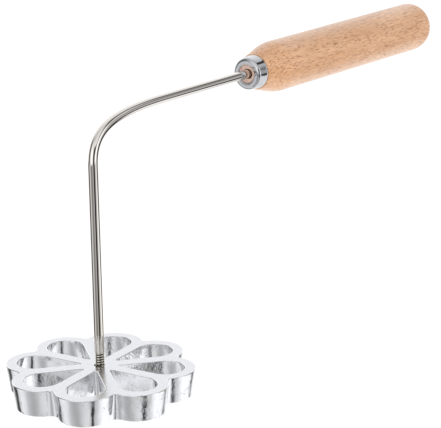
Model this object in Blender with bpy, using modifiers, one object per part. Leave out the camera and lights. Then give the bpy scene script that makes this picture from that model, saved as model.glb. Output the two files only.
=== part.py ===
"""Rosette frying mould: a cast flower-shaped mould screwed on a bent steel rod with a turned wooden handle.

The mould stands on its flat underside at the origin, the rod rises from its hub along +Z, and the arm
and the handle point along +X. Lengths are in metres.
"""
from math import asin, atan2, cos, pi, radians, sin, sqrt, tan

import bmesh
import bpy
from mathutils import Matrix, Vector

MM = 0.001

# Fits
TOUCH_GAP = 0.3 * MM
CUT_OVERRUN = 2 * MM

# Cast mould
PETALS = 8
PETAL_TURN = radians(-15.4)
PETAL_CIRCLE_RADIUS = 26.6 * MM
PETAL_RADIUS = 12.5 * MM
NOTCH_RADIUS = 1.9 * MM
MOULD_HEIGHT = 11.3 * MM
WALL_DRAFT = 1.6 * MM
TOP_EDGE_RADIUS = 0.4 * MM
BOTTOM_EDGE_CHAMFER = 0.3 * MM
HOLE_CIRCLE_RADIUS = 27 * MM
HOLE_END_RADIUS = 7.6 * MM
HOLE_APEX_RADIUS = 0.7 * MM
HUB_RADIUS = 7.8 * MM
HUB_BORE_DEPTH = 8 * MM
HUB_BORE_CHAMFER = 0.5 * MM

# Bent rod
ROD_RADIUS = 2 * MM
ROD_RISE = 100.5 * MM
BEND_DROP = 18.2 * MM
BEND_REACH = 43.8 * MM
BEND_PULL_SHARE = 0.75
ROD_END_CHAMFER = 0.4 * MM
ARM_SLOPE = radians(3)
ARM_LENGTH = 103.3 * MM
ROD_IN_HANDLE = 48 * MM

# Ferrule, a pressed steel cup
FERRULE_LENGTH = 6 * MM
FERRULE_FACE_RADIUS = 7.1 * MM
FERRULE_RIM_RADIUS = 7.8 * MM
FERRULE_CORNER_RADIUS = 0.9 * MM
FERRULE_OPENING_RADIUS = 4.15 * MM
FERRULE_WALL = 0.6 * MM

# Turned handle
HANDLE_LENGTH = 150 * MM
HANDLE_NOSE_STEP = 0.2 * MM
HANDLE_NOSE_LENGTH = 13.4 * MM
HANDLE_FRONT_RADIUS = 11.6 * MM
HANDLE_BACK_RADIUS = 12.35 * MM
HANDLE_SHOULDER_RADIUS = 30 * MM
HANDLE_END_RADIUS = 7.5 * MM
HANDLE_END_CROWN = 1.2 * MM
HANDLE_BORE_MOUTH_RADIUS = 2.8 * MM
HANDLE_BORE_MOUTH_DEPTH = 3 * MM
HANDLE_BORE_SPARE = 2 * MM

# Smoothness of the round forms
LOBE_STEPS = 14
NOTCH_STEPS = 5
HOLE_END_STEPS = 16
HOLE_APEX_STEPS = 4
EDGE_STEPS = 3
BORE_STEPS = 24
TURNED_STEPS = 48
PROFILE_ARC_STEPS = 6
ROD_BEND_STEPS = 12
ROD_SIDES_RESOLUTION = 6
SHARP_ANGLE = radians(35)
MERGE_DISTANCE = 0.01 * MM

# Sizes that follow
HALF_PITCH = pi / PETALS
MOULD_TOP = MOULD_HEIGHT
ROD_FOOT = MOULD_TOP - HUB_BORE_DEPTH + TOUCH_GAP
ROD_CORNER = Vector((0, 0, MOULD_TOP + ROD_RISE))
ARM_DIRECTION = Vector((cos(ARM_SLOPE), 0, sin(ARM_SLOPE)))
WOOD_START = FERRULE_WALL + TOUCH_GAP
FIT_RADIUS = ROD_RADIUS + TOUCH_GAP

COLOURS = {
    "cast_aluminium": ((0.80, 0.81, 0.83), 0.28, 1.0),
    "stainless_steel": ((0.56, 0.53, 0.49), 0.22, 1.0),
    "zinc_plated_steel": ((0.62, 0.64, 0.66), 0.30, 1.0),
    "beech": ((0.71, 0.46, 0.27), 0.55, 0.0),
}


def material(name):
    colour, roughness, metallic = COLOURS[name]
    made = bpy.data.materials.new(name)
    made.use_nodes = True
    shader = made.node_tree.nodes["Principled BSDF"]
    shader.inputs["Base Color"].default_value = (*colour, 1)
    shader.inputs["Roughness"].default_value = roughness
    shader.inputs["Metallic"].default_value = metallic
    made.diffuse_color = (*colour, 1)
    return made


def new_object(name, data, collection, look=None):
    made = bpy.data.objects.new(name, data)
    collection.objects.link(made)
    if look:
        data.materials.append(material(look))
    return made


def new_cutter(name, data, collection):
    made = new_object(name, data, collection)
    made.hide_render = True
    made.display_type = "WIRE"
    return made


def evaluated_mesh(source):
    depsgraph = bpy.context.evaluated_depsgraph_get()
    return bpy.data.meshes.new_from_object(source.evaluated_get(depsgraph))


def settle(piece):
    """Turn the piece's modifiers into mesh and shade its round faces smooth."""
    mesh = evaluated_mesh(piece)
    piece.modifiers.clear()
    piece.data = mesh
    mesh.shade_smooth()
    mesh.set_sharp_from_angle(angle=SHARP_ANGLE)


def arc(centre, radius, start, end, steps):
    """Points on an arc, both ends included, in two dimensions."""
    points = []
    for step in range(steps + 1):
        angle = start + (end - start) * step / steps
        points.append((centre[0] + radius * cos(angle), centre[1] + radius * sin(angle)))
    return points


def turned(points):
    """Points turned about the origin."""
    spin = Matrix.Rotation(PETAL_TURN, 2)
    return [tuple(spin @ Vector(point)) for point in points]


def spread(points, place):
    """A petal's points moved to its place round the hub."""
    spin = Matrix.Rotation(place * 2 * HALF_PITCH, 2)
    return [tuple(spin @ Vector(point)) for point in points]


def flower_outline(inset):
    """The mould's outline, standing in from the full size: round petals with a fillet in each notch."""
    lobe, fillet = PETAL_RADIUS - inset, NOTCH_RADIUS + inset
    across = PETAL_CIRCLE_RADIUS * sin(HALF_PITCH)
    along = PETAL_CIRCLE_RADIUS * cos(HALF_PITCH)
    reach = along + sqrt((PETAL_RADIUS + NOTCH_RADIUS) ** 2 - across ** 2)
    notch = (reach * cos(HALF_PITCH), reach * sin(HALF_PITCH))
    sweep = atan2(notch[1], notch[0] - PETAL_CIRCLE_RADIUS)
    petal = arc((PETAL_CIRCLE_RADIUS, 0), lobe, -sweep, sweep, LOBE_STEPS)
    hollow = arc(notch, fillet, pi + sweep, pi - sweep + 2 * HALF_PITCH, NOTCH_STEPS)
    points = petal + hollow[1:-1]
    return turned([point for place in range(PETALS) for point in spread(points, place)])


def hole_outline(grown):
    """A petal's teardrop hole, standing out from its full size, with its apex toward the hub."""
    apex_centre = HUB_RADIUS + HOLE_APEX_RADIUS
    flank = asin((HOLE_END_RADIUS - HOLE_APEX_RADIUS) / (HOLE_CIRCLE_RADIUS - apex_centre))
    quarter = pi / 2
    end = arc((HOLE_CIRCLE_RADIUS, 0), HOLE_END_RADIUS + grown, -quarter - flank, quarter + flank, HOLE_END_STEPS)
    apex = arc((apex_centre, 0), HOLE_APEX_RADIUS + grown, quarter + flank, 3 * quarter - flank, HOLE_APEX_STEPS)
    return turned(end + apex)


def draft_at(height):
    return WALL_DRAFT * (1 - height / MOULD_HEIGHT)


def wall_levels():
    """Heights up a cast wall with how far it stands back from its full line: draft, chamfer and round edge."""
    levels = [(0, draft_at(0) + BOTTOM_EDGE_CHAMFER), (BOTTOM_EDGE_CHAMFER, draft_at(BOTTOM_EDGE_CHAMFER))]
    for step in range(EDGE_STEPS + 1):
        angle = pi / 2 * step / EDGE_STEPS
        height = MOULD_TOP - TOP_EDGE_RADIUS * (1 - sin(angle))
        levels.append((height, draft_at(height) + TOP_EDGE_RADIUS * (1 - cos(angle))))
    return levels


def lofted_mesh(name, sections):
    """A closed mesh through sections of equal counts, with flat ends."""
    body = bmesh.new()
    rings = [[body.verts.new(point) for point in section] for section in sections]
    for lower, upper in zip(rings, rings[1:]):
        for index in range(len(lower)):
            after = (index + 1) % len(lower)
            body.faces.new((lower[index], lower[after], upper[after], upper[index]))
    body.faces.new(reversed(rings[0]))
    body.faces.new(rings[-1])
    bmesh.ops.recalc_face_normals(body, faces=body.faces)
    mesh = bpy.data.meshes.new(name)
    body.to_mesh(mesh)
    body.free()
    return mesh


def profile_mesh(name, profile):
    """A polyline of radii and heights in the XZ plane, for a Screw modifier."""
    mesh = bpy.data.meshes.new(name)
    mesh.from_pydata([(radius, 0, height) for radius, height in profile],
                     [(index, index + 1) for index in range(len(profile) - 1)], [])
    return mesh


def turn_profile(piece, steps):
    screw = piece.modifiers.new("turned", "SCREW")
    screw.steps = screw.render_steps = steps
    screw.use_merge_vertices = True
    screw.merge_threshold = MERGE_DISTANCE


def cut(piece, cutter):
    boolean = piece.modifiers.new(cutter.name, "BOOLEAN")
    boolean.operation = "DIFFERENCE"
    boolean.solver = "EXACT"
    boolean.object = cutter


def make_mould(parts, cutters):
    """The cast flower: drafted walls outside and in the teardrop holes, and a blind bore in its hub."""
    sections = [[(x, y, height) for x, y in flower_outline(back)] for height, back in wall_levels()]
    mould = new_object("rosette_mould", lofted_mesh("rosette_mould", sections), parts, "cast_aluminium")
    levels = wall_levels()
    levels = [(-CUT_OVERRUN, levels[0][1])] + levels + [(MOULD_TOP + CUT_OVERRUN, levels[-1][1])]
    for place in range(PETALS):
        sections = [[(x, y, height) for x, y in spread(hole_outline(back), place)] for height, back in levels]
        name = f"petal_hole_{place + 1}"
        cut(mould, new_cutter(name, lofted_mesh(name, sections), cutters))
    mouth = FIT_RADIUS + HUB_BORE_CHAMFER
    bore_profile = [
        (0, MOULD_TOP + CUT_OVERRUN),
        (mouth, MOULD_TOP + CUT_OVERRUN),
        (mouth, MOULD_TOP),
        (FIT_RADIUS, MOULD_TOP - HUB_BORE_CHAMFER),
        (FIT_RADIUS, MOULD_TOP - HUB_BORE_DEPTH),
        (0, MOULD_TOP - HUB_BORE_DEPTH),
    ]
    bore = new_cutter("hub_bore", profile_mesh("hub_bore", bore_profile), cutters)
    turn_profile(bore, BORE_STEPS)
    cut(mould, bore)
    settle(mould)


def make_rod(parts):
    """The rod: up from the hub, round one bend and along the arm into the handle."""
    bend_start = ROD_CORNER - Vector((0, 0, BEND_DROP))
    bend_end = ROD_CORNER + ARM_DIRECTION * BEND_REACH
    foot = Vector((0, 0, ROD_FOOT))
    tip = ROD_CORNER + ARM_DIRECTION * (ARM_LENGTH + WOOD_START + ROD_IN_HANDLE)
    nodes = [
        (foot, foot, foot.lerp(bend_start, 1 / 3)),
        (bend_start, foot.lerp(bend_start, 2 / 3), bend_start.lerp(ROD_CORNER, BEND_PULL_SHARE)),
        (bend_end, bend_end.lerp(ROD_CORNER, BEND_PULL_SHARE), bend_end.lerp(tip, 1 / 3)),
        (tip, bend_end.lerp(tip, 2 / 3), tip),
    ]
    wire = bpy.data.curves.new("rod_line", "CURVE")
    wire.dimensions = "3D"
    wire.resolution_u = ROD_BEND_STEPS
    wire.bevel_depth = ROD_RADIUS
    wire.bevel_resolution = ROD_SIDES_RESOLUTION
    wire.use_fill_caps = True
    spline = wire.splines.new("BEZIER")
    spline.bezier_points.add(len(nodes) - 1)
    for point, (place, before, after) in zip(spline.bezier_points, nodes):
        point.handle_left_type = point.handle_right_type = "FREE"
        point.co, point.handle_left, point.handle_right = place, before, after
    line = new_object("rod_line", wire, parts)
    mesh = evaluated_mesh(line)
    bpy.data.objects.remove(line)
    body = bmesh.new()
    body.from_mesh(mesh)
    bmesh.ops.remove_doubles(body, verts=body.verts, dist=MERGE_DISTANCE)
    bmesh.ops.recalc_face_normals(body, faces=body.faces)
    body.to_mesh(mesh)
    body.free()
    rod = new_object("rod", mesh, parts, "stainless_steel")
    chamfer = rod.modifiers.new("end_chamfers", "BEVEL")
    chamfer.width = ROD_END_CHAMFER
    chamfer.segments = 1
    chamfer.limit_method = "ANGLE"
    chamfer.angle_limit = pi / 3
    settle(rod)


def ferrule_radius(height):
    """The cup's outer radius, which widens a little from its face to its rim."""
    return FERRULE_FACE_RADIUS + (FERRULE_RIM_RADIUS - FERRULE_FACE_RADIUS) * height / FERRULE_LENGTH


def make_ferrule(parts, arm):
    """The cup over the handle's end: its face, with a round opening, looks down the arm."""
    corner_radius = ferrule_radius(FERRULE_CORNER_RADIUS) - FERRULE_CORNER_RADIUS
    corner = arc((corner_radius, FERRULE_CORNER_RADIUS), FERRULE_CORNER_RADIUS, 0, -pi / 2, PROFILE_ARC_STEPS)
    profile = [(FERRULE_RIM_RADIUS, FERRULE_LENGTH)] + corner + [(FERRULE_OPENING_RADIUS, 0)]
    ferrule = new_object("ferrule", profile_mesh("ferrule", profile), parts, "zinc_plated_steel")
    turn_profile(ferrule, TURNED_STEPS)
    sheet = ferrule.modifiers.new("sheet", "SOLIDIFY")
    sheet.thickness = FERRULE_WALL
    sheet.offset = -1
    sheet.use_even_offset = True
    settle(ferrule)
    ferrule.parent = arm
    ferrule.location = (0, 0, ARM_LENGTH)


def blend(before, corner, after, radius, steps):
    """An arc that rounds the corner between two straight runs of a profile."""
    before, corner, after = Vector(before), Vector(corner), Vector(after)
    back, on = (before - corner).normalized(), (after - corner).normalized()
    half = back.angle(on) / 2
    centre = corner + (back + on).normalized() * radius / sin(half)
    start, end = corner + back * radius / tan(half) - centre, corner + on * radius / tan(half) - centre
    swing = -start.angle_signed(end)
    first = atan2(start.y, start.x)
    return arc(centre, radius, first, first + swing, steps)


def handle_profile():
    """From the back end's middle down the outside to the nose, the spigot in the ferrule, and up the bore."""
    spigot_front = ferrule_radius(0) - FERRULE_WALL - TOUCH_GAP
    spigot_back = FERRULE_RIM_RADIUS - FERRULE_WALL - TOUCH_GAP
    nose_start = FERRULE_LENGTH + TOUCH_GAP
    nose = (FERRULE_RIM_RADIUS + HANDLE_NOSE_STEP, nose_start)
    shoulder = (HANDLE_FRONT_RADIUS, nose_start + HANDLE_NOSE_LENGTH)
    back_end = nose_start + HANDLE_LENGTH
    back_corner = (HANDLE_BACK_RADIUS, back_end - HANDLE_END_CROWN)
    bore_end = WOOD_START + ROD_IN_HANDLE + HANDLE_BORE_SPARE
    spigot_start_radius = spigot_front - FERRULE_CORNER_RADIUS
    return [
        (0, back_end),
        *blend((0, back_end), back_corner, shoulder, HANDLE_END_RADIUS, 2 * PROFILE_ARC_STEPS),
        *blend(back_corner, shoulder, nose, HANDLE_SHOULDER_RADIUS, PROFILE_ARC_STEPS),
        nose,
        (spigot_back, nose_start),
        (spigot_front, WOOD_START + FERRULE_CORNER_RADIUS),
        (spigot_start_radius, WOOD_START),
        (HANDLE_BORE_MOUTH_RADIUS, WOOD_START),
        (FIT_RADIUS, WOOD_START + HANDLE_BORE_MOUTH_DEPTH),
        (FIT_RADIUS, bore_end),
        (0, bore_end + FIT_RADIUS),
    ]


def make_handle(parts, arm):
    """The turned wooden handle with a blind bore for the rod."""
    handle = new_object("handle", profile_mesh("handle", handle_profile()), parts, "beech")
    turn_profile(handle, TURNED_STEPS)
    settle(handle)
    handle.parent = arm
    handle.location = (0, 0, ARM_LENGTH)


def main():
    for old in list(bpy.data.objects):
        bpy.data.objects.remove(old)
    parts = bpy.data.collections.new("rosette_frying_mould")
    cutters = bpy.data.collections.new("cutters")
    bpy.context.scene.collection.children.link(parts)
    bpy.context.scene.collection.children.link(cutters)
    arm = bpy.data.objects.new("arm_axis", None)
    parts.objects.link(arm)
    arm.location = ROD_CORNER
    arm.rotation_euler = (0, pi / 2 - ARM_SLOPE, 0)
    make_mould(parts, cutters)
    make_rod(parts)
    make_ferrule(parts, arm)
    make_handle(parts, arm)


main()
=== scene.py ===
"""Rosette frying mould, dressed: a cast aluminium flower, a bent steel rod with a cut thread, a zinc-plated
ferrule and a turned beech handle, round the packed model.

Lengths are in metres, +Z is up along the threaded rod, and the arm and the handle point along +X.
"""
from math import asin, atan2, cos, pi, radians, sin, sqrt, tan

import bmesh
import bpy
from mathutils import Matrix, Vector


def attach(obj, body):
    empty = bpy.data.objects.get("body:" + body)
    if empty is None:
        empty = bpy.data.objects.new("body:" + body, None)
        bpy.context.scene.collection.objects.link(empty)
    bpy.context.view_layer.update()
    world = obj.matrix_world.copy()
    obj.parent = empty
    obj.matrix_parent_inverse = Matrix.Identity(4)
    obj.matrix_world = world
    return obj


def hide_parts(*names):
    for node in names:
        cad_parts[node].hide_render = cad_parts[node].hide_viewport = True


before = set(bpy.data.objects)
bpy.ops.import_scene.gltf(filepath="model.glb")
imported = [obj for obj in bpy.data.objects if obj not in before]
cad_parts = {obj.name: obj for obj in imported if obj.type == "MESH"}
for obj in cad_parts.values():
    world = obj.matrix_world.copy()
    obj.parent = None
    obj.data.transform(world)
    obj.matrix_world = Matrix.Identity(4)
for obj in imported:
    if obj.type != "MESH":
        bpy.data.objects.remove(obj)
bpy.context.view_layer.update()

bl_info = {
    "name": "Rosette frying mould",
    "version": (1, 0, 0),
    "blender": (4, 5, 0),
    "location": "View3D > Sidebar > Rosette mould",
    "description": "Builds the cast flower, bent rod, ferrule and turned handle of a rosette iron",
    "category": "Add Mesh",
}

MM = 0.001
UP = Vector((0, 0, 1))
NEAR = 0.01 * MM
FULL_TURN = 2 * pi

# The photograph's camera, in the model's frame, as it was fitted to the photograph
CAMERA_PLACE = Vector((-0.35118, -0.32118, 0.19067))
CAMERA_TURN = (radians(76.174), radians(1.511), radians(-49.749))
CAMERA_LENS = 101.695
CAMERA_SENSOR = 36
CAMERA_SHIFT = 0.19773


def linear(code):
    """An sRGB hex colour as linear red, green and blue."""
    parts = [int(code[place:place + 2], 16) / 255 for place in (1, 3, 5)]
    return tuple(part / 12.92 if part <= 0.04045 else ((part + 0.055) / 1.055) ** 2.4 for part in parts)


def length(name, text, millimetres):
    return bpy.props.FloatProperty(name=name, description=text, default=millimetres * MM, min=0,
                                   unit="LENGTH", precision=5)


def angle(name, text, degrees):
    return bpy.props.FloatProperty(name=name, description=text, default=radians(degrees), subtype="ANGLE")


def count(name, text, default):
    return bpy.props.IntProperty(name=name, description=text, default=default, min=3)


def amount(name, text, default):
    return bpy.props.FloatProperty(name=name, description=text, default=default, min=0)


def colour(name, text, code):
    return bpy.props.FloatVectorProperty(name=name, description=text, default=linear(code), size=3, min=0,
                                         max=1, subtype="COLOR")


class RosetteMouldSizes(bpy.types.PropertyGroup):
    """The cast flower"""
    petals: count("Petals", "How many petals the flower has", 8)
    turn: angle("Turn", "Where the first petal points, from the arm", -15.4)
    petal_circle: length("Petal circle", "Radius of the circle of petal centres", 26.6)
    petal_radius: length("Petal radius", "Outer radius of a petal at the top", 12.5)
    notch_radius: length("Notch radius", "Fillet between two petals", 1.9)
    height: length("Height", "Height of the casting", 11.3)
    draft: length("Draft", "How far the walls stand back at the underside", 1.6)
    edge: length("Top edge", "Radius of the top edges", 0.4)
    foot_edge: length("Foot edge", "Chamfer round the underside", 0.3)
    hole_circle: length("Hole circle", "Radius of the circle of teardrop ends", 27)
    hole_radius: length("Hole radius", "Radius of a teardrop's round end at the top", 7.6)
    apex_radius: length("Apex radius", "Radius of a teardrop's point", 0.7)
    hub_radius: length("Hub radius", "Radius of the solid hub", 7.8)
    bore_radius: length("Bore radius", "Radius of the tapped bore's roots", 2.3)
    bore_depth: length("Bore depth", "Depth of the tapped bore", 8)
    bore_mouth: length("Bore mouth", "Radius of the bore's mouth", 2.08)
    bore_lip: length("Bore lip", "Depth of the cone behind the bore's mouth", 0.25)
    bore_wear: length("Bore wear", "How far the mouth is worn away on its left", 0.75)
    collar: length("Collar", "Breadth of the flat ring round the bore's mouth", 1.5)
    wave: length("Wall waves", "How far hand polishing leaves the walls from true", 0.09)
    wave_size: length("Wave size", "Breadth of one polishing wave", 5)
    wall_colour: colour("Polished walls", "Colour of the polished cast walls", "#EAEBEE")
    face_colour: colour("Ground faces", "Colour of the ground top and underside", "#D8D9DE")
    pit_colour: colour("Pits", "Colour of casting pits", "#A9ACB2")
    # The bore's two colours are darkened as painted shade of the deep bore, besides old oil
    shaded_bore_colour: colour("Tapped bore", "Colour of the cut metal in the bore", "#817C76")
    oil_and_shade_colour: colour("Old oil", "Colour of old oil in the bore", "#3F3835")


class RosetteRodSizes(bpy.types.PropertyGroup):
    """The bent rod"""
    radius: length("Radius", "Radius of the rod and of the thread's crests", 2)
    core_radius: length("Thread core", "Radius at the bottom of the thread", 1.55)
    pitch: length("Thread pitch", "Height of one turn of the thread", 1.05)
    thread_top: length("Thread top", "Height at which the thread runs out, from the underside", 16.9)
    run_out: length("Run-out", "Height over which the rod steps down to the core", 0.35)
    tip_bevel: length("Tip bevel", "Height of the bevel at the rod's lower end", 0.3)
    foot: length("Foot", "Height of the rod's lower end", 3.7)
    rise: length("Rise", "Height of the bend's corner above the mould", 100.5)
    bend_drop: length("Bend drop", "How far below its corner the bend starts", 18.2)
    bend_reach: length("Bend reach", "How far beyond its corner the bend ends", 43.8)
    arm_slope: angle("Arm slope", "Slope of the arm", 3)
    arm_length: length("Arm length", "From the bend's corner to the ferrule", 103.3)
    in_handle: length("In the handle", "Length of rod inside the handle", 48)
    steel_colour: colour("Stainless steel", "Colour of the drawn steel", "#E3DFDA")
    warm_colour: colour("Heat tint", "Straw tint that hot oil leaves near the mould", "#DFD4C3")
    # Painted shade: this colour darkens the bottom of the thread, together with old oil
    grime_and_shade_colour: colour("Thread grime", "Colour of old oil at the bottom of the thread", "#1D1612")


class RosetteFerruleSizes(bpy.types.PropertyGroup):
    """The pressed ferrule"""
    length: length("Length", "Length of the cup", 6)
    face_radius: length("Face radius", "Outer radius at the face", 7.1)
    rim_radius: length("Rim radius", "Outer radius at the rim", 7.8)
    corner: length("Corner", "Radius of the pressed corner", 1.45)
    opening: length("Opening", "Radius of the opening for the rod", 4.15)
    wall: length("Wall", "Thickness of the sheet", 0.6)
    flare: length("Flare", "How far the rim flares", 0.22)
    flare_length: length("Flare length", "Length of the flared rim", 0.7)
    zinc_colour: colour("Zinc plating", "Colour of the plated steel", "#CBCCCF")


class RosetteHandleSizes(bpy.types.PropertyGroup):
    """The turned handle"""
    length: length("Length", "Length of the handle behind the ferrule", 150)
    nose_step: length("Nose step", "How far the wood stands out round the rim", 0.2)
    nose: length("Nose", "Length of the tapered nose", 13.4)
    front_radius: length("Front radius", "Radius behind the nose", 11.6)
    back_radius: length("Back radius", "Radius near the end", 12.35)
    shoulder: length("Shoulder", "Radius of the curve behind the nose", 30)
    end_radius: length("End radius", "Radius of the round end's edge", 7.5)
    crown: length("Crown", "How far the end is domed", 1.2)
    gap: length("Gap", "Room between the wood and the ferrule, and round the rod", 0.1)
    nose_edge: length("Nose edge", "Radius of the nose's front edge", 0.35)
    mouth: length("Bore mouth", "Radius of the bore's mouth", 2.3)
    cone: length("Bore cone", "Depth of the cone behind the bore's mouth", 2.4)
    tear: length("Tear", "How far the mouth is torn open on its right", 0.7)
    wood_colour: colour("Beech", "Main colour of the wood", "#D49F72")
    pale_colour: colour("Pale wood", "Colour of the pale early wood", "#E3B289")
    fleck_colour: colour("Flecks", "Colour of the short rays", "#985326")
    end_colour: colour("End grain", "Colour of the cut end of the wood", "#E4C5B8")


class RosetteStageSizes(bpy.types.PropertyGroup):
    """The stage"""
    floor_size: length("Floor size", "Side of the floor", 6000)
    floor_gap: length("Floor gap", "How far the floor lies below the mould", 0.2)
    floor_colour: colour("Floor", "Colour of the floor", "#F4F4F2")
    gap_colour: colour("Dark gap", "Colour of the dark gap that polished metal mirrors", "#3F3C3C")
    light_level: amount("Light level", "Brightness of the surroundings", 1.27)
    lamp_side: length("Lamp side", "How far the lamp stands along the arm", 100)
    lamp_height: length("Lamp height", "Height of the lamp", 1500)
    lamp_size: length("Lamp size", "Side of the lamp", 1600)
    lamp_power: amount("Lamp power", "Power of the lamp in watts", 2)


def sizes(name):
    return getattr(bpy.context.scene, "rosette_" + name)


# Making meshes

def begin(name, place):
    """A new piece that starts as one vertex: a small plane merged at its centre."""
    bpy.ops.object.select_all(action="DESELECT")
    bpy.ops.mesh.primitive_plane_add(size=MM, enter_editmode=True)
    piece = bpy.context.object
    piece.name = piece.data.name = name
    bpy.ops.mesh.select_mode(type="VERT")
    bpy.ops.mesh.merge(type="CENTER")
    bpy.ops.transform.translate(value=place)
    return piece


def another_start(place):
    """One more loose vertex in the piece being edited, alone selected."""
    bpy.ops.mesh.select_all(action="DESELECT")
    bpy.ops.mesh.primitive_plane_add(size=MM)
    bpy.ops.mesh.merge(type="CENTER")
    bpy.ops.transform.translate(value=place)


def draw(points):
    """Extrude the selected vertex from point to point. It stands at the first of them."""
    for here, there in zip(points, points[1:]):
        bpy.ops.mesh.extrude_vertices_move(TRANSFORM_OT_translate={"value": Vector(there) - Vector(here)})


def pick(kind, test):
    """Select the verts or edges of the piece being edited that pass the test."""
    mesh = bpy.context.edit_object.data
    body = bmesh.from_edit_mesh(mesh)
    bpy.ops.mesh.select_all(action="DESELECT")
    for part in getattr(body, kind):
        if test(part):
            part.select_set(True)
    body.select_flush_mode()
    bmesh.update_edit_mesh(mesh)


def pick_line(points):
    """Select the run of edges just drawn through the points."""
    places = [Vector(point) for point in points]
    pick("verts", lambda vertex: not vertex.link_faces
         and any((vertex.co - place).length < NEAR for place in places))


def pick_rings(test):
    """Select the open rings whose vertices' places pass the test."""
    pick("edges", lambda edge: len(edge.link_faces) == 1 and all(test(vertex.co) for vertex in edge.verts))


def sweep(centre, axis, turn, steps):
    """Spin the selected edges about an axis, anticlockwise when it points at the eye."""
    bpy.ops.mesh.spin(steps=steps, angle=-turn, center=centre, axis=axis)


def extrude_run(run, steps):
    """Extrude the selected edges along a run in even steps."""
    for _ in range(steps):
        bpy.ops.mesh.extrude_edges_move(TRANSFORM_OT_translate={"value": run / steps})


def merge_all():
    bpy.ops.mesh.select_all(action="SELECT")
    bpy.ops.mesh.remove_doubles(threshold=NEAR)


def face_outwards():
    bpy.ops.mesh.select_all(action="SELECT")
    bpy.ops.mesh.normals_make_consistent(inside=False)


def fill_rings(test):
    """Fill the flat region between the open rings whose vertices' places pass the test."""
    pick_rings(test)
    bpy.ops.mesh.fill(use_beauty=True)


def end_edit():
    bpy.ops.object.mode_set(mode="OBJECT")


def apply_modifier(piece, kind, **settings):
    made = piece.modifiers.new(kind.lower(), kind)
    for name, value in settings.items():
        setattr(made, name, value)
    bpy.ops.object.modifier_apply(modifier=made.name)


def shade(piece, sharp):
    """Smooth shading but for the sharp edges, with large flat faces kept flat."""
    bpy.ops.object.shade_smooth_by_angle(angle=sharp)
    apply_modifier(piece, "WEIGHTED_NORMAL", keep_sharp=True)


def round_corner(before, corner, after, radius, steps):
    """Points of the arc that rounds a corner of a profile."""
    before, corner, after = Vector(before), Vector(corner), Vector(after)
    back, on = (before - corner).normalized(), (after - corner).normalized()
    half = back.angle(on) / 2
    centre = corner + (back + on).normalized() * radius / sin(half)
    start, end = corner + back * radius / tan(half) - centre, corner + on * radius / tan(half) - centre
    swing, first = -start.angle_signed(end), atan2(start.y, start.x)
    angles = [first + swing * step / steps for step in range(steps + 1)]
    return [tuple(centre + Vector((cos(a), sin(a))) * radius) for a in angles]


def even_run(start, end, steps):
    """Points along a straight run, without its ends."""
    start, end = Vector(start), Vector(end)
    return [tuple(start.lerp(end, step / steps)) for step in range(1, steps)]


# Making materials

def rgba(values):
    return (*values, 1)


def dimmed(tone, by):
    return tuple(by * part for part in tone)


def per(millimetres):
    """The texture scale at which one cell is that many millimetres."""
    return 1 / (millimetres * MM)


def plug(tree, made, inputs):
    """Set inputs of a shader node, or link them: to a socket, or to the first output in use of a node."""
    for socket, value in inputs.items():
        if isinstance(value, bpy.types.Node):
            value = next(output for output in value.outputs if output.enabled)
        if isinstance(value, bpy.types.NodeSocket):
            tree.links.new(value, made.inputs[socket])
        else:
            made.inputs[socket].default_value = value


def node(tree, kind, inputs=None, stops=None, **settings):
    """Add a shader node with its settings, its colour stops, and its input values or links."""
    made = tree.nodes.new("ShaderNode" + kind)
    for name, value in settings.items():
        setattr(made, name, value)
    if stops:
        marks = made.color_ramp.elements
        while len(marks) < len(stops):
            marks.new(0.5)
        for mark, (place, tone) in zip(marks, stops):
            mark.position = place
            mark.color = rgba([tone] * 3 if isinstance(tone, (int, float)) else tone)
    plug(tree, made, inputs or {})
    return made


def new_material(name):
    made = bpy.data.materials.new(name)
    made.use_nodes = True
    tree = made.node_tree
    tree.nodes.clear()
    shader = node(tree, "BsdfPrincipled")
    node(tree, "OutputMaterial", {"Surface": shader})
    return made, tree, shader


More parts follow.
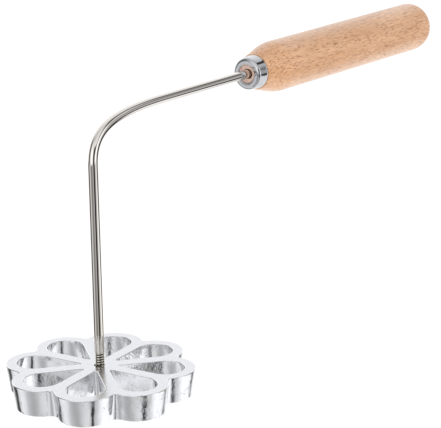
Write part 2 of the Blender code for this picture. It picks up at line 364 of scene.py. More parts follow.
def polished_casting(name, finish):
    """Cast aluminium, tumbled and hand-polished: a mirror with soft waves, casting pits and dull patches.

    The finish is 1 outside and more in the holes, where the wheel hardly reaches.
    """
    look = sizes("mould")
    made, tree, shader = new_material(name)
    place = node(tree, "TexCoord").outputs["Object"]
    # The skin is rougher on the side where the metal was poured in
    poured = node(tree, "VectorMath", {0: place, 1: (0.79, -0.61, 0)}, operation="DOT_PRODUCT")
    rougher_side = node(tree, "MapRange", {"Value": poured, "From Min": -12 * MM, "From Max": 12 * MM,
                                           "To Min": 0.25, "To Max": 1})
    # Dull patches of about 7 mm, where the wheel missed
    patch = node(tree, "TexNoise", {"Vector": place, "Scale": per(7), "Detail": 4, "Roughness": 0.6})
    more = 0.12 * finish
    dull = node(tree, "ValToRGB", {"Fac": patch}, stops=[(0.60 - more, 0), (0.74 - more, 1)])
    # Casting pits about a third of a millimetre across
    cells = node(tree, "TexVoronoi", {"Vector": place, "Scale": per(0.9)})
    pits = node(tree, "ValToRGB", {"Fac": cells}, stops=[(0.10, 1), (0.24, 0)])
    pitted = node(tree, "Math", {0: pits, 1: dull}, operation="MULTIPLY")
    grey = node(tree, "Mix", {0: pitted, 6: rgba(look.wall_colour), 7: rgba(look.pit_colour)},
                data_type="RGBA")
    # Polishing marks round the wall, drawn coarser than real ones so that they show
    stretched = node(tree, "Mapping", {"Vector": place, "Scale": (per(4), per(4), per(0.35))})
    marks = node(tree, "TexNoise", {"Vector": stretched, "Scale": 1, "Detail": 3})
    sheen = node(tree, "MapRange", {"Value": marks, "To Min": 0.05 * finish, "To Max": 0.13 * finish})
    rougher = node(tree, "Math", {0: dull, 1: 0.16, 2: sheen}, operation="MULTIPLY_ADD")
    fine = node(tree, "Bump", {"Height": marks, "Distance": 0.02 * MM, "Strength": 0.5})
    wide = node(tree, "Bump", {"Height": patch, "Distance": 0.25 * MM, "Strength": rougher_side,
                               "Normal": fine})
    # The grainy skin that the sand of the mould left, in grains of about a millimetre
    skin = node(tree, "TexNoise", {"Vector": place, "Scale": per(1.2), "Detail": 3, "Roughness": 0.55})
    grainy = node(tree, "Bump", {"Height": skin, "Distance": 0.08 * MM * finish ** 2,
                                 "Strength": rougher_side, "Normal": wide})
    sunk = node(tree, "Bump", {"Height": pitted, "Distance": 0.08 * MM, "Normal": grainy}, invert=True)
    plug(tree, shader, {"Base Color": grey, "Roughness": rougher, "Metallic": 1, "Normal": sunk})
    return made


def tapped_bore():
    """Cut aluminium in the tapped bore, darkened as painted shade of the deep bore, with old oil in blots of
    about a millimetre.
    """
    look = sizes("mould")
    made, tree, shader = new_material("tapped_cast_aluminium")
    place = node(tree, "TexCoord").outputs["Object"]
    oil = node(tree, "TexNoise", {"Vector": place, "Scale": per(1.2), "Detail": 3})
    # Both tones are dark as painted shade of the deep bore; the darker one stands for old oil as well
    tone = node(tree, "ValToRGB", {"Fac": oil}, stops=[(0.3, look.oil_and_shade_colour), (0.7, look.shaded_bore_colour)])
    plug(tree, shader, {"Base Color": tone, "Roughness": 0.45, "Metallic": 1})
    return made


def ground_casting():
    """Cast aluminium ground flat on a belt and buffed: bright, with fine lines and a faint mottle."""
    look = sizes("mould")
    made, tree, shader = new_material("ground_cast_aluminium")
    place = node(tree, "TexCoord").outputs["Object"]
    # Belt lines, drawn at a third of a millimetre so that they show
    turned = node(tree, "Mapping", {"Vector": place, "Rotation": (0, 0, radians(24)),
                                    "Scale": (per(14), per(0.33), per(4))})
    lines = node(tree, "TexNoise", {"Vector": turned, "Scale": 1, "Detail": 4})
    # Mottle of the cast metal's grains, 1.6 mm across
    mottle = node(tree, "TexNoise", {"Vector": place, "Scale": per(1.6), "Detail": 5, "Roughness": 0.65})
    tone = node(tree, "ValToRGB", {"Fac": mottle},
                stops=[(0.35, dimmed(look.face_colour, 0.93)), (0.62, look.face_colour)])
    sheen = node(tree, "MapRange", {"Value": lines, "To Min": 0.18, "To Max": 0.28})
    scored = node(tree, "Bump", {"Height": lines, "Distance": 0.012 * MM, "Strength": 0.5})
    uneven = node(tree, "Bump", {"Height": mottle, "Distance": 0.02 * MM, "Strength": 0.5, "Normal": scored})
    plug(tree, shader, {"Base Color": tone, "Roughness": sheen, "Metallic": 1, "Normal": uneven})
    return made


def drawn_steel():
    """Stainless steel rod, bright drawn: a close mirror, a little uneven, straw-tinted near the mould, with
    painted shade at the bottom of the thread.
    """
    look = sizes("rod")
    made, tree, shader = new_material("drawn_stainless_steel")
    place = node(tree, "TexCoord").outputs["Object"]
    height = node(tree, "SeparateXYZ", {"Vector": place}).outputs["Z"]
    # The tint is cloudy and fades out some 30 mm above the mould
    heat = node(tree, "MapRange", {"Value": height, "From Min": 45 * MM, "From Max": 12 * MM})
    cloud = node(tree, "TexNoise", {"Vector": place, "Scale": per(6), "Detail": 3})
    tinted = node(tree, "Math", {0: heat, 1: cloud}, operation="MULTIPLY")
    warm = node(tree, "Mix", {0: tinted, 6: rgba(look.steel_colour), 7: rgba(look.warm_colour)},
                data_type="RGBA")
    # Painted shade darkens the bottom of the thread, along with old oil that stays there
    flat = node(tree, "VectorMath", {0: place, 1: (1, 1, 0)}, operation="MULTIPLY")
    out = node(tree, "VectorMath", {0: flat}, operation="LENGTH")
    deep = node(tree, "MapRange", {"Value": out, "From Min": look.radius - 0.12 * MM,
                                   "From Max": look.core_radius})
    threaded = node(tree, "Math", {0: height, 1: look.thread_top}, operation="LESS_THAN")
    grime_and_shade = node(tree, "Math", {0: deep, 1: threaded}, operation="MULTIPLY")
    tone = node(tree, "Mix", {0: grime_and_shade, 6: warm, 7: rgba(look.grime_and_shade_colour)}, data_type="RGBA")
    # Smears of some 2.5 mm that drawing and handling left
    smear = node(tree, "TexNoise", {"Vector": place, "Scale": per(2.5), "Detail": 4, "Roughness": 0.6})
    sheen = node(tree, "MapRange", {"Value": smear, "To Min": 0.02, "To Max": 0.07})
    uneven = node(tree, "Bump", {"Height": smear, "Distance": 0.012 * MM, "Strength": 0.5})
    plug(tree, shader, {"Base Color": tone, "Roughness": sheen, "Metallic": 1, "Normal": uneven})
    return made


def zinc_plate():
    """Zinc-plated pressed steel: a satin grey with a fine crystal mottle and press marks."""
    look = sizes("ferrule")
    made, tree, shader = new_material("zinc_plated_steel")
    place = node(tree, "TexCoord").outputs["Object"]
    # Crystals, drawn at 0.8 mm so that they show
    crystals = node(tree, "TexVoronoi", {"Vector": place, "Scale": per(0.8)})
    sheen = node(tree, "MapRange", {"Value": crystals, "To Min": 0.06, "To Max": 0.13})
    # Press marks of about 2 mm
    smear = node(tree, "TexNoise", {"Vector": place, "Scale": per(1.8), "Detail": 5, "Roughness": 0.6})
    tone = node(tree, "ValToRGB", {"Fac": smear},
                stops=[(0.3, dimmed(look.zinc_colour, 0.82)), (0.65, look.zinc_colour)])
    uneven = node(tree, "Bump", {"Height": smear, "Distance": 0.03 * MM, "Strength": 0.5})
    plug(tree, shader, {"Base Color": tone, "Roughness": sheen, "Metallic": 1, "Normal": uneven})
    return made


def handle_space(tree):
    """Coordinates that run along the handle in X, from the ferrule's face."""
    face, _, _ = arm()
    place = node(tree, "TexCoord").outputs["Object"]
    slope = sizes("rod").arm_slope
    return node(tree, "Mapping", {"Vector": place, "Location": face, "Rotation": (0, -slope, 0)},
                vector_type="TEXTURE")


def sanded_beech():
    """Steamed beech, turned and sanded: pinkish tan with short dark rays along the grain, no varnish."""
    look = sizes("handle")
    made, tree, shader = new_material("sanded_beech")
    along = handle_space(tree)
    # Broad early and late wood, some 6 mm across and ten times as long
    broad = node(tree, "Mapping", {"Vector": along, "Scale": (per(70), per(6), per(6))})
    seasons = node(tree, "TexNoise", {"Vector": broad, "Scale": 1, "Detail": 2, "Distortion": 0.4})
    base = node(tree, "ValToRGB", {"Fac": seasons},
                stops=[(0.38, look.wood_colour), (0.64, look.pale_colour)])
    # Fibres, drawn at half a millimetre so that they show
    fibre_space = node(tree, "Mapping", {"Vector": along, "Scale": (per(9), per(0.55), per(0.55))})
    fibres = node(tree, "TexNoise", {"Vector": fibre_space, "Scale": 1, "Detail": 4, "Roughness": 0.6})
    fibre_tone = node(tree, "MapRange", {"Value": fibres, "From Min": 0.25, "From Max": 0.75,
                                         "To Min": 0.76, "To Max": 1.20})
    toned = node(tree, "VectorMath", {0: base, 3: fibre_tone}, operation="SCALE")
    # Rays: dashes about 2.7 mm long and 0.4 mm wide, coarser than real ones so that they show
    ray_space = node(tree, "Mapping", {"Vector": along, "Scale": (per(4.6), per(0.62), per(0.62))})
    rays = node(tree, "TexVoronoi", {"Vector": ray_space, "Scale": 1})
    dashes = node(tree, "ValToRGB", {"Fac": rays}, stops=[(0.15, 1), (0.44, 0)])
    crowd = node(tree, "TexNoise", {"Vector": broad, "Scale": 2.3, "Detail": 2})
    crowded = node(tree, "MapRange", {"Value": crowd, "From Min": 0.35, "From Max": 0.6, "To Min": 0.5})
    dark = node(tree, "Math", {0: dashes, 1: crowded}, operation="MULTIPLY")
    wood = node(tree, "Mix", {0: dark, 6: toned, 7: rgba(look.fleck_colour)}, data_type="RGBA")
    sheen = node(tree, "MapRange", {"Value": fibres, "To Min": 0.26, "To Max": 0.40})
    grain = node(tree, "Bump", {"Height": fibres, "Distance": 0.05 * MM, "Strength": 0.5})
    pores = node(tree, "Bump", {"Height": dark, "Distance": 0.02 * MM, "Normal": grain}, invert=True)
    # Sanding leaves a nap of fibre ends that whitens the wood where it turns from the eye
    plug(tree, shader, {"Base Color": wood, "Roughness": sheen, "Normal": pores, "Sheen Weight": 0.35,
                        "Sheen Roughness": 0.45})
    return made


def beech_end():
    """The cut end of the beech inside the ferrule: torn fibres, pinker and darker than the sanded sides."""
    look = sizes("handle")
    made, tree, shader = new_material("beech_end_grain")
    # Tears of about a millimetre
    torn = node(tree, "TexNoise", {"Vector": handle_space(tree), "Scale": per(0.9), "Detail": 4,
                                   "Roughness": 0.7})
    tone = node(tree, "ValToRGB", {"Fac": torn}, stops=[
        (0.36, dimmed(look.end_colour, 0.6)), (0.5, look.end_colour), (0.72, look.pale_colour)])
    rough = node(tree, "Bump", {"Height": torn, "Distance": 0.2 * MM, "Strength": 0.7})
    plug(tree, shader, {"Base Color": tone, "Roughness": 0.6, "Normal": rough})
    return made


# The pieces

def wall_profile(outwards):
    """A cast wall from foot to flat top: how far it stands from its full line, and its height."""
    look = sizes("mould")
    edge_steps, wall_steps = 5, 9
    back = [look.draft * (1 - height / look.height) for height in (0, look.foot_edge)]
    profile = [(back[0] + look.foot_edge + look.edge / 4, 0), (back[0] + look.foot_edge, 0)]
    top = look.height - look.edge
    for step in range(wall_steps + 1):
        height = look.foot_edge + (top - look.foot_edge) * step / wall_steps
        profile.append((look.draft * (1 - height / look.height), height))
    for step in range(1, edge_steps + 1):
        swing = pi / 2 * step / edge_steps
        height = top + look.edge * sin(swing)
        profile.append((look.draft * (1 - height / look.height) + look.edge * (1 - cos(swing)), height))
    profile.append((profile[-1][0] + look.edge, look.height))
    return [(outwards * back_by, height) for back_by, height in profile]


def upright(centre, direction, radius, profile):
    """A wall profile stood up at a radius from a vertical axis."""
    return [centre + direction * (radius + out) + UP * height for out, height in profile]


def heading(turn):
    return Vector((cos(turn), sin(turn), 0))


class RosetteMakeMould(bpy.types.Operator):
    """Cast flower: one petal's outer wall and teardrop wall are swept, copied round the hub and capped"""
    bl_idname = "rosette.make_mould"
    bl_label = "Cast flower"

    def execute(self, context):
        look = sizes("mould")
        half = pi / look.petals
        across, along = look.petal_circle * sin(half), look.petal_circle * cos(half)
        reach = along + sqrt((look.petal_radius + look.notch_radius) ** 2 - across ** 2)
        petal = heading(look.turn) * look.petal_circle
        notch = heading(look.turn + half) * reach
        swing = atan2(sin(half) * reach, cos(half) * reach - look.petal_circle)

        line = upright(petal, heading(look.turn - swing), look.petal_radius, wall_profile(-1))
        mould = begin("rosette_mould_casting", line[0])
        draw(line)
        pick_line(line)
        sweep(petal, UP, 2 * swing, 64)
        sweep(notch, UP, 2 * half - 2 * swing, 10)

        apex_reach = look.hub_radius + look.apex_radius
        flank = asin((look.hole_radius - look.apex_radius) / (look.hole_circle - apex_reach))
        end, apex = heading(look.turn) * look.hole_circle, heading(look.turn) * apex_reach
        start = look.turn - pi / 2 - flank
        line = upright(end, heading(start), look.hole_radius, wall_profile(1))
        another_start(line[0])
        draw(line)
        pick_line(line)
        sweep(end, UP, pi + 2 * flank, 40)
        inwards, narrower = apex - end, look.hole_radius - look.apex_radius
        extrude_run(inwards - heading(look.turn + pi / 2 + flank) * narrower, 16)
        sweep(apex, UP, pi - 2 * flank, 8)
        extrude_run(heading(start) * narrower - inwards, 16)

        bpy.ops.mesh.select_all(action="SELECT")
        others = look.petals - 1
        bpy.ops.mesh.spin(steps=others, dupli=True, angle=-2 * half * others, center=(0, 0, 0), axis=UP)
        merge_all()

        top, mouth = look.height, look.bore_mouth
        floor_of_bore = top - look.bore_depth
        line = [Vector((radius, 0, height)) for radius, height in (
            (mouth + look.collar, top), (mouth, top), (look.bore_radius, top - look.bore_lip),
            (look.bore_radius, floor_of_bore), (0, floor_of_bore - look.bore_radius / 2))]
        another_start(line[0])
        draw(line)
        pick_line(line)
        sweep((0, 0, 0), UP, FULL_TURN, 48)
        merge_all()
        pick("verts", lambda vertex: vertex.co.x < -NEAR and vertex.co.z > top - NEAR
             and abs(vertex.co.xy.length - mouth) < NEAR)
        bpy.ops.transform.resize(value=(1 + look.bore_wear / mouth, 1, 1), center_override=(0, 0, 0))
        fill_rings(lambda place: abs(place.z - top) < NEAR)
        fill_rings(lambda place: abs(place.z) < NEAR)
        face_outwards()
        end_edit()

        # The waves fade out over the last 2 mm below the top and above the foot, and spare the bore
        walls = mould.vertex_groups.new(name="walls")
        fade, inner = 2 * MM, look.hub_radius * 0.8
        for vertex in mould.data.vertices:
            weight = min(vertex.co.z, top - look.edge - vertex.co.z) / fade
            if weight > 0 and vertex.co.xy.length > inner:
                walls.add([vertex.index], min(weight, 1), "REPLACE")
        waves = bpy.data.textures.new("polishing_waves", "CLOUDS")
        waves.noise_scale = look.wave_size
        waves.noise_depth = 1
        apply_modifier(mould, "DISPLACE", texture=waves, texture_coords="LOCAL", strength=2 * look.wave,
                       vertex_group="walls")
        shade(mould, radians(40))
        mould.data.materials.append(polished_casting("polished_cast_aluminium", 1))
        mould.data.materials.append(ground_casting())
        mould.data.materials.append(polished_casting("dull_cast_aluminium", 1.25))
        mould.data.materials.append(tapped_bore())
        add_tapping(mould)
        # The slots by place: 0 outer walls, 1 flat faces, 2 walls of the holes, 3 the bore
        level = 0.99
        for face in mould.data.polygons:
            out = face.center.xy.length
            if out < inner and NEAR < face.center.z < top - NEAR:
                face.material_index = 3
            elif abs(face.normal.z) > level:
                face.material_index = 1
            else:
                turn = atan2(face.center.y, face.center.x) - look.turn
                middle = heading(look.turn + 2 * half * round(turn / (2 * half))) * look.hole_circle
                outwards = (face.center - middle).xy.dot(face.normal.xy)
                within = (face.center.xy - middle.xy).length < (look.petal_radius + look.hole_radius) / 2
                face.material_index = 2 if outwards < 0 and (within or out < look.hole_circle) else 0
        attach(mould, "mould")
        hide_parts("rosette_mould")
        return {"FINISHED"}


def helical_ridge(name, root, crest, foot, turns, pitch, steps):
    """A closed thread ridge round the Z axis, from its root radius to its crest radius."""
    root_half, crest_half = 0.43 * pitch, 0.22 * pitch
    section = [Vector((radius, 0, foot + rise)) for radius, rise in (
        (root, -root_half), (crest, -crest_half), (crest, crest_half), (root, root_half))]
    ridge = begin(name, section[0])
    draw(section)
    bpy.ops.mesh.select_all(action="SELECT")
    bpy.ops.mesh.edge_face_add()
    bpy.ops.mesh.delete(type="ONLY_FACE")
    end_edit()
    apply_modifier(ridge, "SCREW", angle=FULL_TURN, screw_offset=pitch, iterations=turns, steps=steps,
                   render_steps=steps, use_merge_vertices=False)
    bpy.ops.object.mode_set(mode="EDIT")
    merge_all()
    bpy.ops.mesh.select_all(action="SELECT")
    bpy.ops.mesh.fill_holes(sides=4)
    face_outwards()
    end_edit()
    return ridge


def join_into(piece, other):
    bpy.ops.object.select_all(action="DESELECT")
    other.select_set(True)
    piece.select_set(True)
    bpy.context.view_layer.objects.active = piece
    bpy.ops.object.join()


def add_tapping(mould):
    """The tapped thread in the hub, a ridge rooted in the bore's wall."""
    look, rod = sizes("mould"), sizes("rod")
    rooted, stands_out = 0.1 * MM, 0.25 * MM
    foot = look.height - look.bore_depth + rod.pitch
    turns = int(look.bore_depth / rod.pitch) - 1
    ridge = helical_ridge("tapping", look.bore_radius + rooted, look.bore_radius - stands_out, foot, turns,
                          rod.pitch, 32)
    join_into(mould, ridge)


def arm():
    """The ferrule's face on the arm's axis, and the directions along the arm and up from it."""
    look, mould = sizes("rod"), sizes("mould")
    along = Vector((cos(look.arm_slope), 0, sin(look.arm_slope)))
    corner = UP * (mould.height + look.rise)
    return corner + along * look.arm_length, along, Vector((-along.z, 0, along.x))


class RosetteMakeRod(bpy.types.Operator):
    """Bent rod: a curve with a round section, extruded down to the thread's core, and the thread's ridge"""
    bl_idname = "rosette.make_rod"
    bl_label = "Bent rod"

    def execute(self, context):
        look, mould = sizes("rod"), sizes("mould")
        face, along, _ = arm()
        corner = UP * (mould.height + look.rise)
        foot = UP * look.thread_top
        bend_start = corner - UP * look.bend_drop
        bend_end = corner + along * look.bend_reach
        tip = face + along * look.in_handle
        # How far the bend's handles reach towards its corner, and the straight runs' handles along them
        pull, third = 0.75, 1 / 3
        points = [
            (foot, foot, foot.lerp(bend_start, third)),
            (bend_start, bend_start.lerp(foot, third), bend_start.lerp(corner, pull)),
            (bend_end, bend_end.lerp(corner, pull), bend_end.lerp(tip, third)),
            (tip, tip.lerp(bend_end, third), tip),
        ]
        bpy.ops.object.select_all(action="DESELECT")
        bpy.ops.curve.primitive_bezier_curve_add(location=(0, 0, 0))
        rod = context.object
        rod.name = rod.data.name = "threaded_rod"
        line = rod.data.splines[0]
        line.bezier_points.add(len(points) - 2)
        for point, (place, before, after) in zip(line.bezier_points, points):
            point.handle_left_type = point.handle_right_type = "FREE"
            point.co, point.handle_left, point.handle_right = place, before, after
        rod.data.dimensions = "3D"
        rod.data.resolution_u = 48
        rod.data.bevel_depth = look.radius
        rod.data.bevel_resolution = 12
        bpy.ops.object.convert(target="MESH")
        bpy.ops.object.mode_set(mode="EDIT")
        merge_all()

        # The lower end steps down to the core of the thread and runs to the foot
        core_length = look.thread_top - look.run_out - look.tip_bevel - look.foot
        steps = [(look.core_radius / look.radius, look.run_out), (1, core_length), (0.8, look.tip_bevel)]
        pick_rings(lambda place: place.z < look.thread_top + NEAR)
        height = look.thread_top
        for scale, drop in steps:
            height -= drop
            bpy.ops.mesh.extrude_edges_move(TRANSFORM_OT_translate={"value": -UP * drop})
            bpy.ops.transform.resize(value=(scale, scale, 1), center_override=UP * height)
        bpy.ops.mesh.edge_face_add()
        pick_rings(lambda place: (place - tip).length < 2 * look.radius)
        bpy.ops.mesh.edge_face_add()
        face_outwards()
        end_edit()
        turns = int((look.thread_top - look.foot) / look.pitch) - 1
        start = look.thread_top - turns * look.pitch
        rooted, below = 0.1 * MM, 0.03 * MM
        ridge = helical_ridge("rod_thread", look.core_radius - rooted, look.radius - below, start, turns,
                              look.pitch, 40)
        join_into(rod, ridge)
        bpy.ops.object.shade_smooth_by_angle(angle=radians(32))
        rod.data.materials.clear()
        rod.data.materials.append(drawn_steel())
        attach(rod, "holder")
        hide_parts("rod")
        return {"FINISHED"}


def turn_on_arm(name, profile, steps):
    """A turned piece: a profile of radii and distances from the ferrule's face, spun about the arm."""
    face, along, out = arm()
    line = [face + along * distance + out * radius for radius, distance in profile]
    piece = begin(name, line[0])
    draw(line)
    bpy.ops.mesh.select_all(action="SELECT")
    sweep(face, along, FULL_TURN, steps)
    merge_all()
    face_outwards()
    end_edit()
    return piece


class RosetteMakeFerrule(bpy.types.Operator):
    """Pressed ferrule: a cup of thin sheet with a rolled corner and a flared rim, spun about the arm"""
    bl_idname = "rosette.make_ferrule"
    bl_label = "Ferrule"

    def execute(self, context):
        look = sizes("ferrule")
        wall, corner, lip = look.wall, look.corner, look.wall * 0.45
        # The outline's corners and the radius of each
        outline = [
            ((look.opening, 0), lip),
            ((look.face_radius, 0), corner),
            ((look.rim_radius - look.flare, look.length - look.flare_length), wall * 0.5),
            ((look.rim_radius, look.length), wall * 0.4),
            ((look.rim_radius - wall, look.length), wall * 0.3),
            ((look.face_radius - wall, wall), corner - wall),
            ((look.opening, wall), lip),
        ]
        profile = []
        for number, (place, radius) in enumerate(outline):
            before, after = outline[number - 1][0], outline[(number + 1) % len(outline)][0]
            profile += round_corner(before, place, after, radius, 10 if radius == corner else 5)
        profile.append(profile[0])
        ferrule = turn_on_arm("ferrule_cup", profile, 96)
        shade(ferrule, radians(40))
        ferrule.data.materials.append(zinc_plate())
        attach(ferrule, "holder")
        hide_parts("ferrule")
        return {"FINISHED"}


class RosetteMakeHandle(bpy.types.Operator):
    """Turned handle: nose, grip and domed end, with a spigot in the ferrule and a blind bore"""
    bl_idname = "rosette.make_handle"
    bl_label = "Handle"

    def execute(self, context):
        look, cup, rod = sizes("handle"), sizes("ferrule"), sizes("rod")
        gap = look.gap
        nose_at = cup.length + gap
        front = cup.wall + gap
        nose = (cup.rim_radius + look.nose_step, nose_at)
        shoulder = (look.front_radius, nose_at + look.nose)
        back = nose_at + look.length
        corner = (look.back_radius, back - look.crown)
        dome = (0, back)
        grip = round_corner(corner, shoulder, nose, look.shoulder, 14)
        end = round_corner(dome, corner, shoulder, look.end_radius, 22)
        in_rim = (cup.rim_radius - cup.wall - gap, nose_at)
        lip = round_corner(grip[-1], nose, in_rim, look.nose_edge, 5)
        spigot = cup.face_radius - cup.wall - gap
        spigot_front = (spigot - cup.corner, front)
        mouth = (look.mouth, front)
        bore = rod.radius + gap
        bore_end = front + rod.in_handle
        profile = [dome, *even_run(dome, end[0], 5), *end, *even_run(end[-1], grip[0], 40), *grip,
                   *even_run(grip[-1], lip[0], 4), *lip, in_rim, (spigot, front + cup.corner), spigot_front,
                   *even_run(spigot_front, mouth, 6), mouth, (bore, front + look.cone), (bore, bore_end),
                   (0, bore_end + bore)]
        handle = turn_on_arm("turned_handle", profile, 96)
        face, along, _ = arm()
        middle = face + along * front
        bpy.ops.object.mode_set(mode="EDIT")
        pick("verts", lambda vertex: vertex.co.y < -NEAR
             and abs((vertex.co - middle).length - look.mouth) < NEAR)
        bpy.ops.transform.resize(value=(1, 1 + look.tear / look.mouth, 1), center_override=middle)
        end_edit()
        shade(handle, radians(40))
        handle.data.materials.append(sanded_beech())
        handle.data.materials.append(beech_end())
        for part in handle.data.polygons:
            part.material_index = int((part.center - face).dot(along) < nose_at - gap)
        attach(handle, "holder")
        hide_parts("handle")
        return {"FINISHED"}


class RosetteMakeStage(bpy.types.Operator):
    """Stage: the camera, a pale floor, the light of a white studio and one large soft lamp"""
    bl_idname = "rosette.make_stage"
    bl_label = "Stage"

    def execute(self, context):
        look = sizes("stage")
        bpy.ops.object.select_all(action="DESELECT")
        bpy.ops.object.camera_add(location=CAMERA_PLACE, rotation=CAMERA_TURN)
        camera = context.object
        camera.name = "photograph_camera"
        camera.data.lens = CAMERA_LENS
        camera.data.sensor_width = CAMERA_SENSOR
        camera.data.shift_x = CAMERA_SHIFT
        camera.data.clip_start = 10 * MM
        context.scene.camera = camera
        make_floor()
        make_surroundings(context.scene)
        bpy.ops.object.light_add(type="AREA", location=(look.lamp_side, 0, look.lamp_height))
        lamp = context.object
        lamp.name = "softbox"
        lamp.data.shape = "SQUARE"
        lamp.data.size = look.lamp_size
        lamp.data.energy = look.lamp_power
        lamp.visible_glossy = False
        context.scene.view_settings.view_transform = "Standard"
        return {"FINISHED"}


def make_floor():
    look = sizes("stage")
    bpy.ops.mesh.primitive_plane_add(size=look.floor_size, location=(0, 0, -look.floor_gap))
    floor = bpy.context.object
    floor.name = "floor"
    made, tree, shader = new_material("studio_floor")
    plug(tree, shader, {"Base Color": rgba(dimmed(look.floor_colour, 0.4)), "Roughness": 0.9,
                        "Specular IOR Level": 0})
    # Seen straight, the floor is the white of the background, and keeps a trace of the shadow
    glow = node(tree, "Emission", {"Color": rgba((1, 1, 1)), "Strength": 0.93})
    soft = node(tree, "BsdfDiffuse", {"Color": rgba((0.16, 0.16, 0.16))})
    seen = node(tree, "AddShader", {0: glow, 1: soft})
    # It lights dull surfaces as a bright table top would, and mirrors see the studio's table instead
    bright = node(tree, "Emission", {"Color": rgba(look.floor_colour), "Strength": 0.72 * look.light_level})
    lit = node(tree, "AddShader", {0: bright, 1: shader})
    rays = node(tree, "LightPath")
    both = node(tree, "MixShader", {0: rays.outputs["Is Camera Ray"], 1: lit, 2: seen})
    output = next(part for part in tree.nodes if part.type == "OUTPUT_MATERIAL")
    plug(tree, output, {"Surface": both})
    floor.data.materials.append(made)
    floor.visible_glossy = False


# How bright the studio is all round, from bearings in degrees: 0 is its front, 90 its right
STUDIO = {
    "near_table": [
        (-180, 0.86), (-160, 0.76), (-149, 0.50), (-141, 0.10), (-122, 0.05), (-115, 0.80), (-98, 1.02),
        (-80, 0.90), (-64, 0.60), (-45, 0.47), (-34, 0.50), (-6, 0.80), (10, 0.86), (18, 0.66), (23, 0.04),
        (31, 0.04), (37, 0.62), (46, 0.68), (60, 1.05), (75, 1.27), (95, 1.16), (130, 1.1)],
    "far_table": [
        (-180, 1.08), (-152, 0.84), (-130, 0.10), (-108, 0.04), (-98, 0.28), (-80, 0.96), (-62, 0.52),
        (-42, 0.20), (-16, 0.42), (-3, 0.66), (7, 0), (27, 0), (38, 0.30), (58, 0.95), (76, 1.3), (140, 1.2)],
    "horizon": [
        (-180, 1.2), (-132, 1.15), (-116, 0.66), (-104, 0.12), (-84, 0.12), (-66, 0.75), (-54, 1.4),
        (-16, 1.4), (-7, 0.50), (1, 0.07), (24, 0.07), (33, 1), (46, 1.4), (66, 1.35), (78, 0.60), (90, 0.5),
        (140, 1.2)],
    "roof": [(-180, 1.1), (-120, 0.92), (-95, 0.72), (-40, 0.70), (0, 1), (60, 0.72), (180, 1.1)],
    # Where its right wall, the screen of its upper front and its arch stand
    "right_wall": [(-180, 0), (74, 0), (92, 1), (124, 1), (144, 0)],
    "screen": [(-180, 0), (-60, 0), (-40, 1), (40, 1), (60, 0)],
    "arch": [(-180, 0), (12, 0), (24, 1), (116, 1), (128, 0)],
    # How strongly it lights dull surfaces
    "soft_light": [(-180, 0.45), (-100, 0.75), (0, 1), (100, 0.75), (180, 0.45)],
}
# How bright its right wall is from 30 degrees below the horizon to 30 above: grey above a dark edge
WALL_TONES = [(0, 1.2), (0.215, 1.15), (0.255, 0.03), (0.365, 0.03), (0.415, 0.60), (0.62, 0.54),
              (0.70, 0.38), (0.80, 0.24), (0.86, 0.34), (1, 0.8)]
WALL_MIDDLE, WALL_SPREAD, LEAST_SPREAD = 275 / 360, 12, 0.8
ARCH_MIDDLE, ARCH_BOW, ARCH_HEIGHT = 262 / 360, 42, radians(57)


def between(value, start, end):
    """Inputs of a range from 0 to 1, as an angle goes from one number of degrees to another."""
    return {"Value": value, "From Min": radians(start), "From Max": radians(end)}


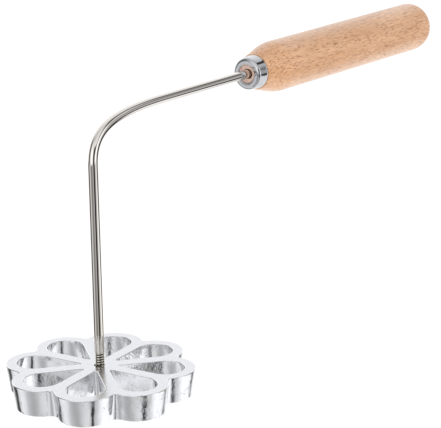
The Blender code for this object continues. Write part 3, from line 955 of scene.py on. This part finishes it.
def make_surroundings(scene):
    """A white studio with grey sides and a dark gap where its front is open, as polished metal mirrors it."""
    world = bpy.data.worlds.new("white_studio")
    world.use_nodes = True
    scene.world = world
    tree = world.node_tree
    tree.nodes.clear()
    towards = atan2(CAMERA_PLACE.y, CAMERA_PLACE.x)
    place = node(tree, "TexCoord").outputs["Generated"]
    facing = node(tree, "Mapping", {"Vector": place, "Rotation": (0, 0, -towards)})
    axes = node(tree, "SeparateXYZ", {"Vector": facing})
    round_it = node(tree, "Math", {0: axes.outputs["Y"], 1: axes.outputs["X"]}, operation="ARCTAN2")
    # 0 is behind the object, a quarter its left, a half the studio's front, three quarters its right
    bearing = node(tree, "MapRange", between(round_it, -180, 180))
    rise = node(tree, "Math", {0: axes.outputs["Z"]}, operation="ARCSINE")
    light_level = sizes("stage").light_level
    studio = {}
    for name, stops in STUDIO.items():
        bright = light_level if name == "soft_light" else 1
        marks = [((way + 180) / 360, tone * bright) for way, tone in stops]
        studio[name] = node(tree, "ValToRGB", {"Fac": bearing}, stops=marks)

    # The right wall is seen in perspective: its tones spread out towards the back
    bow = node(tree, "Math", {0: bearing, 1: WALL_MIDDLE}, operation="SUBTRACT")
    widened = node(tree, "Math", {0: bow, 1: WALL_SPREAD, 2: 1}, operation="MULTIPLY_ADD")
    spread = node(tree, "Math", {0: widened, 1: LEAST_SPREAD}, operation="MAXIMUM")
    across = node(tree, "Math", {0: rise, 1: spread}, operation="DIVIDE")
    wall_part = node(tree, "MapRange", between(across, -30, 30))
    wall = node(tree, "ValToRGB", {"Fac": wall_part}, stops=WALL_TONES)
    # The upper front is screened, so that the mould's top isn't dark when it is seen from behind
    high = node(tree, "MapRange", between(rise, 19, 25))
    screened = node(tree, "Math", {0: studio["screen"], 1: high}, operation="MULTIPLY")
    # The dark gap arches over from the studio's open front to its right side
    lean = node(tree, "Math", {0: bearing, 1: ARCH_MIDDLE}, operation="SUBTRACT")
    bowed = node(tree, "Math", {0: lean, 1: lean}, operation="MULTIPLY")
    gap = node(tree, "Math", {0: bowed, 1: ARCH_BOW, 2: rise}, operation="MULTIPLY_ADD")
    beside = node(tree, "Math", {0: gap, 1: ARCH_HEIGHT}, operation="SUBTRACT")
    off = node(tree, "Math", {0: beside}, operation="ABSOLUTE")
    dark = node(tree, "MapRange", between(off, 14, 7))
    arched = node(tree, "Math", {0: dark, 1: studio["arch"]}, operation="MULTIPLY")
    # Each layer covers the ones before it where its share is 1
    mirrored = studio["near_table"]
    for part, tone in (
            (node(tree, "MapRange", between(rise, -27, -19)), studio["far_table"]),
            (node(tree, "MapRange", between(rise, -11, -7)), studio["horizon"]),
            (studio["right_wall"], wall),
            (screened, rgba((1, 1, 1))),
            (node(tree, "MapRange", between(rise, 28, 50)), studio["roof"]),
            (arched, rgba(sizes("stage").gap_colour))):
        mirrored = node(tree, "Mix", {0: part, 6: mirrored, 7: tone}, data_type="RGBA")
    # Dull surfaces are lit softly from the studio's front, less from its roof and back
    above = node(tree, "MapRange", between(rise, 0, 60))
    even = node(tree, "Mix", {0: above, 6: studio["soft_light"], 7: rgba([0.62 * light_level] * 3)},
                data_type="RGBA")
    rays = node(tree, "LightPath")
    lit = node(tree, "Mix", {0: rays.outputs["Is Glossy Ray"], 6: even, 7: mirrored}, data_type="RGBA")
    seen = node(tree, "Mix", {0: rays.outputs["Is Camera Ray"], 6: lit, 7: rgba((1, 1, 1))}, data_type="RGBA")
    sky = node(tree, "Background", {"Color": seen, "Strength": 1})
    node(tree, "OutputWorld", {"Surface": sky})


OPERATORS = (RosetteMakeStage, RosetteMakeMould, RosetteMakeRod, RosetteMakeFerrule, RosetteMakeHandle)
GROUPS = {"mould": RosetteMouldSizes, "rod": RosetteRodSizes, "ferrule": RosetteFerruleSizes,
          "handle": RosetteHandleSizes, "stage": RosetteStageSizes}


class RosettePanel(bpy.types.Panel):
    """The rosette mould's pieces and their sizes"""
    bl_idname = "VIEW3D_PT_rosette_mould"
    bl_label = "Rosette mould"
    bl_space_type = "VIEW_3D"
    bl_region_type = "UI"
    bl_category = "Rosette mould"

    def draw(self, context):
        for operator in OPERATORS:
            self.layout.operator(operator.bl_idname)
        for name, group in GROUPS.items():
            box = self.layout.box()
            box.label(text=group.__doc__)
            for field in group.__annotations__:
                box.prop(getattr(context.scene, "rosette_" + name), field)


CLASSES = (*GROUPS.values(), *OPERATORS, RosettePanel)


def register():
    for made in CLASSES:
        bpy.utils.register_class(made)
    for name, group in GROUPS.items():
        setattr(bpy.types.Scene, "rosette_" + name, bpy.props.PointerProperty(type=group))


def unregister():
    for name in GROUPS:
        delattr(bpy.types.Scene, "rosette_" + name)
    for made in reversed(CLASSES):
        bpy.utils.unregister_class(made)


def main():
    register()
    bpy.ops.rosette.make_stage()
    bpy.ops.rosette.make_mould()
    bpy.ops.rosette.make_rod()
    bpy.ops.rosette.make_ferrule()
    bpy.ops.rosette.make_handle()


if __name__ == "__main__":
    main()
